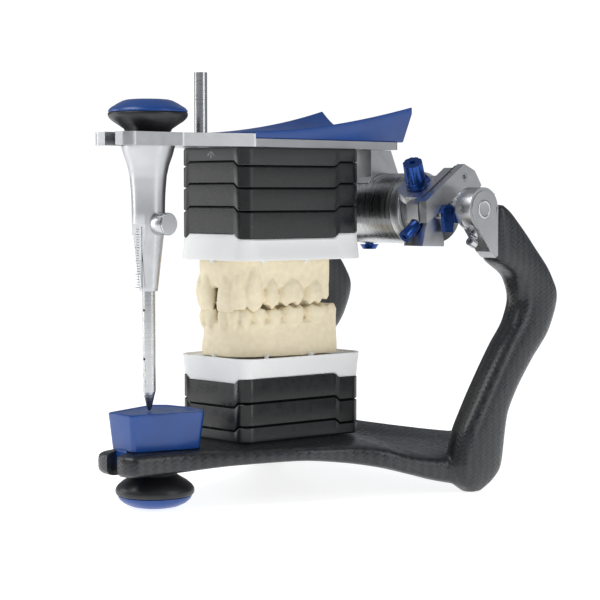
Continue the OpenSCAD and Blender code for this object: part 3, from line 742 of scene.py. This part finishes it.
# ---- plates, table and trays
def rounded(corners, radius, steps=14):
    """An outline with its corners turned into arcs; the points run round it."""
    corners = [Vector(c) for c in corners]
    pts = []
    for i, p in enumerate(corners):
        a = (corners[i - 1] - p).normalized()
        b = (corners[(i + 1) % len(corners)] - p).normalized()
        half = math.acos(max(-1, min(1, a.dot(b)))) / 2
        c = p + (a + b).normalized() * radius / math.sin(half)
        start = p + a * radius / math.tan(half) - c
        end = p + b * radius / math.tan(half) - c
        a0, a1 = math.atan2(start.y, start.x), math.atan2(end.y, end.x)
        sweep = (a1 - a0 + math.pi) % (2 * math.pi) - math.pi
        pts += [c + radius * Vector((math.cos(a0 + sweep * k / steps), math.sin(a0 + sweep * k / steps)))
                for k in range(steps + 1)]
    return pts


def trapezoid(half_front, half_rear, front, rear, radius, steps=14):
    """The outline shared by plates and trays: narrower in front, with round corners."""
    corners = [(-half_front, front), (half_front, front), (half_rear, rear), (-half_rear, rear)]
    return rounded(corners, radius, steps)


def fine(pts, step):
    """The same outline with points added along its straight runs."""
    out = []
    for i, p in enumerate(pts):
        q = pts[(i + 1) % len(pts)]
        n = max(1, int((q - p).length / step))
        out += [p.lerp(q, k / n) for k in range(n)]
    return out


# the front corners of a plate are stepped, outside LIP_X and in front of LIP_Y; LIP_SLANT is the
# length of the slanted ends of the step
LIP, LIP_X, LIP_Y, LIP_SLANT = 2.0, 14.6, 4.9, 2.4


def lip_at(p):
    """1 where a plate has its step, 0 where it has none, with slanted ends."""
    across = min(1.0, max(0.0, (abs(p.x) - LIP_X) / LIP_SLANT))
    along = min(1.0, max(0.0, (LIP_Y - p.y) / LIP_SLANT))
    return min(across, along)


PLATE = dict(half_front=21, half_rear=27.2, front=-47.5, rear=17.9, radius=5.4)
PLATE_MIDDLE_Y = (PLATE["front"] + PLATE["rear"]) / 2
# levels run from the mounting face towards the models
STACKS = {
    "lower": dict(up=1, body="lower_frame", levels=[25, 31.9, 42, 52.5],
                  nodes=["lower_mount_plate", "lower_spacer_1", "lower_spacer_2"]),
    "upper": dict(up=-1, body="upper_frame", levels=[151, 143.1, 133.7, 123.8, 112],
                  nodes=["upper_mount_plate", "upper_spacer_1", "upper_spacer_2", "upper_spacer_3"])}


def build_stack(name):
    """The plates between a frame and its tray, each with an undercut along its joint."""
    stack = STACKS[name]
    up = stack["up"]
    outer = fine(trapezoid(**PLATE, steps=20), 0.7)
    groove = 0.85
    half_wide, half_long = 24, 33

    def inset(p, d):
        return Vector((p.x * (1 - d / half_wide),
                       (p.y - PLATE_MIDDLE_Y) * (1 - d / half_long) + PLATE_MIDDLE_Y))
    for k, node in enumerate(stack["nodes"]):
        z0, z1 = stack["levels"][k], stack["levels"][k + 1]

        def end(p):
            return z1 - up * LIP * (1 - lip_at(p))

        def start(p):
            return z0 - up * LIP * (1 - lip_at(p)) if k else z0
        rings = []
        for deep, lift, edge in ((1.6, 0.02, start), (0.75, 0.05, start), (0.12, groove * 0.75, start),
                                 (0, groove, start), (0, -groove * 0.6, end), (0.1, -groove * 0.35, end),
                                 (0.55, -0.05, end), (1.6, -0.02, end)):
            if k == 0 and edge is start:
                deep = min(deep, 0.4)
            sunk = [inset(p, deep) for p in outer]
            rings.append([(q.x, q.y, edge(p) + up * lift) for p, q in zip(outer, sunk)])
        slot = "grey_plate" if k == 0 else "black_plate"
        plate = loft(node + "_block", rings, MAT[slot])
        plate.data.set_sharp_from_angle(angle=math.radians(28))
        place(plate, stack["body"], node, slot=slot)


def build_table():
    """Incisal table: a block that widens upwards, with soft edges and a sunk top."""
    corners = [(-8, -98.2), (8, -98.2), (17.2, -67), (12, -62), (0, -60.5), (-12, -62), (-17.2, -67)]
    middle = Vector((0, -80))
    half_wide = 17

    def ring(inset_by, z):
        pts = [middle + (Vector(c) - middle) * (1 - inset_by / half_wide) for c in corners]
        return [(p.x, p.y, z) for p in rounded(pts, 2.4, 8)]
    rings = [ring(inset_by, z) for inset_by, z in (
        (1.9, 25.02), (1.55, 25.4), (0.1, 39.4), (0.0, 39.9), (0.12, 40.35), (0.45, 40.63),
        (0.9, 40.7), (2.1, 40.7), (2.5, 40.45), (2.9, 40.4))]
    table = loft("incisal_table_block", rings, MAT["blue_plastic"])
    # the tongue that slides in the base's slot
    tongue_half = SLOT_HALF - 0.1
    tongue = box_cutter((-tongue_half, -97, 18.8), (tongue_half, SLOT_END_Y, 25.5))
    tongue.data.materials.append(MAT["blue_plastic"])
    table = join([table, tongue], "incisal_table_block")
    table.data.set_sharp_from_angle(angle=math.radians(35))
    place(table, "lower_frame", "incisal_table", slot="blue_plastic")


TRAYS = {"lower": dict(up=1, plate_z=50.5, rim_z=61.2), "upper": dict(up=-1, plate_z=114.0, rim_z=102.7)}
RIM = dict(half_front=23, half_rear=29.2, front=-48.5, rear=19.6, radius=9)


def build_tray(name):
    """White tray: the plate side has the stack's outline, the model side a wider and rounder rim."""
    up, plate_z, rim_z = (TRAYS[name][key] for key in ("up", "plate_z", "rim_z"))
    stack = fine(trapezoid(**PLATE), 0.7)
    around = fine(trapezoid(**RIM), 0.1)
    # each point of the stack's outline gets the rim's point in the same direction
    centre = Vector((0, -14.6))
    rim = [max(around, key=lambda q: (q - centre).normalized().dot((p - centre).normalized()))
           for p in stack]
    rim_middle = (RIM["front"] + RIM["rear"]) / 2
    inside = [Vector((p.x * 0.955, (p.y - rim_middle) * 0.96 + rim_middle)) for p in rim]
    rings = []
    for part, outward in ((0, -0.35), (0.07, 0.0), (0.2, 0.0), (0.45, 0.3), (0.75, 0.72), (0.94, 1.0),
                          (1.0, 0.97)):
        row = []
        for a, b in zip(stack, rim):
            low = plate_z + up * LIP * lip_at(a)
            row.append((lerp(a.x, b.x, outward), lerp(a.y, b.y, outward), lerp(low, rim_z, part)))
        rings.append(row)
    rings.append([(p.x, p.y, rim_z) for p in inside])
    rings.append([(p.x * 0.995, p.y * 0.995, rim_z - up * 0.8) for p in inside])
    tray = loft(name + "_tray_shell", rings, MAT["white_plastic"])
    bevel(tray, 0.3, 3, 30)
    place(tray, name + "_frame", name + "_tray", slot="white_plastic")
    # small tabs that hold the foot of the model
    tabs = []
    for t in (-0.86, -0.52, 0.0, 0.52, 0.86):
        p, along, out = arch_frame(JAWS[name], t)
        p = p + out * 0.5
        half = 1.0 if abs(t) > 0.6 else 0.7
        plan = [p + along * (u * half) + out * v for u, v in ((-1, -1.4), (1, -1.4), (1, 0.9), (-1, 0.9))]
        verts = [(q.x, q.y, z) for z in (rim_z - up * 1.0, rim_z + up * 1.1) for q in plan]
        tabs.append(mesh_object("tab", verts, BOX_FACES, MAT["white_plastic"]))
    tab = join(tabs, name + "_tray_tabs")
    bevel(tab, 0.3, 3, 30)
    place(tab, name + "_frame", slot="white_plastic")


# ---------------------------------------------------------------- small details on the metal
def stroke(name, points, width, material, lift, up):
    """A thin bar along points, proud by lift of a flat face whose normal is up."""
    up = Vector(up).normalized()
    low = -up * 0.12
    verts, faces = [], []
    for a, b in zip(points, points[1:]):
        a, b = Vector(a) + up * lift, Vector(b) + up * lift
        side = (b - a).cross(up).normalized() * width / 2
        n = len(verts)
        top = [a - side, a + side, b + side, b - side]
        verts += top + [p + low for p in top]
        faces += [(n, n + 1, n + 2, n + 3), (n + 4, n + 7, n + 6, n + 5), (n, n + 4, n + 5, n + 1),
                  (n + 1, n + 5, n + 6, n + 2), (n + 2, n + 6, n + 7, n + 3), (n + 3, n + 7, n + 4, n)]
    return mesh_object(name, verts, faces, material, smooth=False)


def build_sleeve_scale():
    """Height scale on the flat of the pin's sleeve."""
    to_front = (0, -1, 0)
    y = -87.3
    first_z, pitch = 92.4, 1.1
    marks = []
    for k in range(23):
        z = first_z + k * pitch
        half = 1.9 if k % 5 == 0 else 1.1
        marks.append(stroke("mark", [(-0.4 - half, y, z), (-0.4 + half * 0.4, y, z)], 0.22, MAT["ink_and_shade"],
                            0.05, to_front))
    marks.append(stroke("mark", [(2.0, y, 92), (2.0, y, 117.6)], 0.3, MAT["ink_and_shade"], 0.05, to_front))
    place(join(marks, "sleeve_scale"), "upper_frame")


def build_stack_arrow():
    """Plain arrow on the front of the top plate of the upper stack."""
    to_front = (0, -1, 0)
    arrow = []
    for a, b in (((-2.2, 147.4), (0, 149.6)), ((0, 149.6), (2.2, 147.4)), ((0, 146.4), (0, 149.4))):
        ends = [(x, PLATE["front"], z) for x, z in (a, b)]
        arrow.append(stroke("mark", ends, 0.45, MAT["print"], 0.03, to_front))
    place(join(arrow, "stack_arrow"), "upper_frame")


def build_bar_scales():
    """On each guide bar a scale, and a dark strip of painted shade where the groove between bar and housing
    lies.
    """
    slope = math.radians(33)
    shade_strip_x, scale_x = 52.62, 53.2
    start, end = Vector((0, 28.4, 129.3)), Vector((0, 50.6, 143.7))
    for side, s in SIDES:
        up = Vector((0, -math.sin(slope), math.cos(slope)))
        ends = [(s * shade_strip_x, p.y, p.z) for p in (start, end)]
        # a dark strip along the joint of bar and housing: painted shade standing in for the shadowed groove
        # there
        lines = [stroke("groove", ends, 0.55, MAT["ink_and_shade"], 0.06, up)]
        for k in range(9):
            p = start.lerp(end, 0.22 + 0.07 * k)
            length = 1.5 if k % 4 == 0 else 0.9
            lines.append(stroke("mark", [(s * scale_x, p.y, p.z), (s * (scale_x + length), p.y, p.z)],
                                0.2, MAT["ink_and_shade"], 0.05, up))
        place(join(lines, side + "_bar_scale_and_shade"), side + "_housing")


def build_bracket_faces():
    """The raised D-shaped face on the outside of each bracket, with its turned pivot."""
    pivot_y, pivot_z = 47.5, 124.5
    r = 8.1
    inner, outer = 72.0, 72.35
    arc = []
    for k in range(25):
        a = math.radians(-14 + (180 + 14) * k / 24)
        arc.append((pivot_y + r * math.cos(a), pivot_z + r * math.sin(a)))
    outline = [(56.4, 105.6), (56.4, 125.5)] + [p for p in arc if p[0] < 56.2]
    outline += [(pivot_y - r * 0.94, pivot_z - r * 0.34), (51.6, 106.6)]
    n = len(outline)
    faces = [tuple(range(n)), tuple(range(2 * n - 1, n - 1, -1))]
    faces += [(i, (i + 1) % n, n + (i + 1) % n, n + i) for i in range(n)]
    cap = [(0.01, 0), (4.1, 0), (4.1, 0.35), (3.6, 0.55), (3.2, 0.5), (3.0, 0.32), (1.6, 0.28), (0.01, 0.3)]
    for side, s in SIDES:
        verts = [(s * x, y, z) for x in (inner, outer) for y, z in outline]
        face = mesh_object(side + "_bracket_face", verts, faces, MAT["satin_aluminium"], smooth=False)
        bevel(face, 0.15, 2, 30)
        place(face, "lower_frame", slot="satin_aluminium")
        pivot = lathe(side + "_pivot_cap", cap, (s * 72.2, pivot_y, pivot_z), MAT["turned_x"], 64,
                      axis=(s, 0, 0))
        pivot.data.set_sharp_from_angle(angle=math.radians(40))
        place(pivot, "lower_frame", slot="bright_steel")


# ---------------------------------------------------------------- stage
def camera():
    """The photograph's view; the place is in metres."""
    data = bpy.data.cameras.new("camera")
    data.sensor_width = 36
    data.lens = 108
    data.clip_start = 0.05
    data.clip_end = 20
    cam = bpy.data.objects.new("camera", data)
    bpy.context.scene.collection.objects.link(cam)
    cam.location = (0.5821, -0.5567, 0.1315)
    cam.rotation_euler = Euler((math.radians(90 - 3.4), 0, math.radians(46)))
    bpy.context.scene.camera = cam


def area_light(name, location, target, size, power):
    """A soft light that faces target; places and size are in metres, power in watts."""
    data = bpy.data.lights.new(name, "AREA")
    data.shape = "RECTANGLE"
    data.size, data.size_y = size
    data.energy = power
    lamp = bpy.data.objects.new(name, data)
    bpy.context.scene.collection.objects.link(lamp)
    lamp.location = location
    lamp.rotation_euler = (Vector(target) - Vector(location)).to_track_quat("-Z", "Y").to_euler()


def stage():
    """White floor, a soft world that looks plain white to the camera, and three soft lights."""
    s = Shader("floor_white", (0.93, 0.93, 0.93, 1), 0.22, specular=0.35)
    s.vary_roughness(s.noise((0.02, 0.02, 0.02)), 0.02)
    s.bsdf.inputs["Emission Color"].default_value = (1, 1, 1, 1)
    s.bsdf.inputs["Emission Strength"].default_value = 0.78
    half, z = 4000, -0.1
    floor = mesh_object("floor", [(-half, -half, z), (half, -half, z), (half, half, z), (-half, half, z)],
                        [(0, 1, 2, 3)], s.material, smooth=False)
    world = bpy.context.scene.world or bpy.data.worlds.new("world")
    bpy.context.scene.world = world
    world.use_nodes = True
    tree = world.node_tree
    soft = tree.nodes["Background"]
    soft.inputs[0].default_value = (0.9, 0.94, 1.0, 1)
    soft.inputs[1].default_value = 0.3
    white = tree.nodes.new("ShaderNodeBackground")
    white.inputs[0].default_value = (1, 1, 1, 1)
    white.inputs[1].default_value = 1.05
    path = tree.nodes.new("ShaderNodeLightPath")
    pick = tree.nodes.new("ShaderNodeMixShader")
    tree.links.new(path.outputs["Is Camera Ray"], pick.inputs[0])
    tree.links.new(soft.outputs[0], pick.inputs[1])
    tree.links.new(white.outputs[0], pick.inputs[2])
    tree.links.new(pick.outputs[0], tree.nodes["World Output"].inputs[0])
    area_light("key", (-0.2, -0.75, 1.05), (0, 0, 0.1), (0.8, 0.6), 7)
    area_light("side", (1.15, 0.25, 0.55), (0, 0, 0.1), (0.3, 0.9), 3.2)
    area_light("left", (-1.0, -0.6, 0.35), (0, -0.02, 0.1), (0.3, 0.8), 2.5)
    bpy.context.scene.view_settings.view_transform = "Standard"


camera()
stage()
finish_nodes()
build_frame()
build_wing()
build_knobs()
build_jaw("upper")
build_jaw("lower")
build_stack("upper")
build_stack("lower")
build_table()
build_tray("upper")
build_tray("lower")
build_sleeve_scale()
build_stack_arrow()
build_bar_scales()
build_bracket_faces()
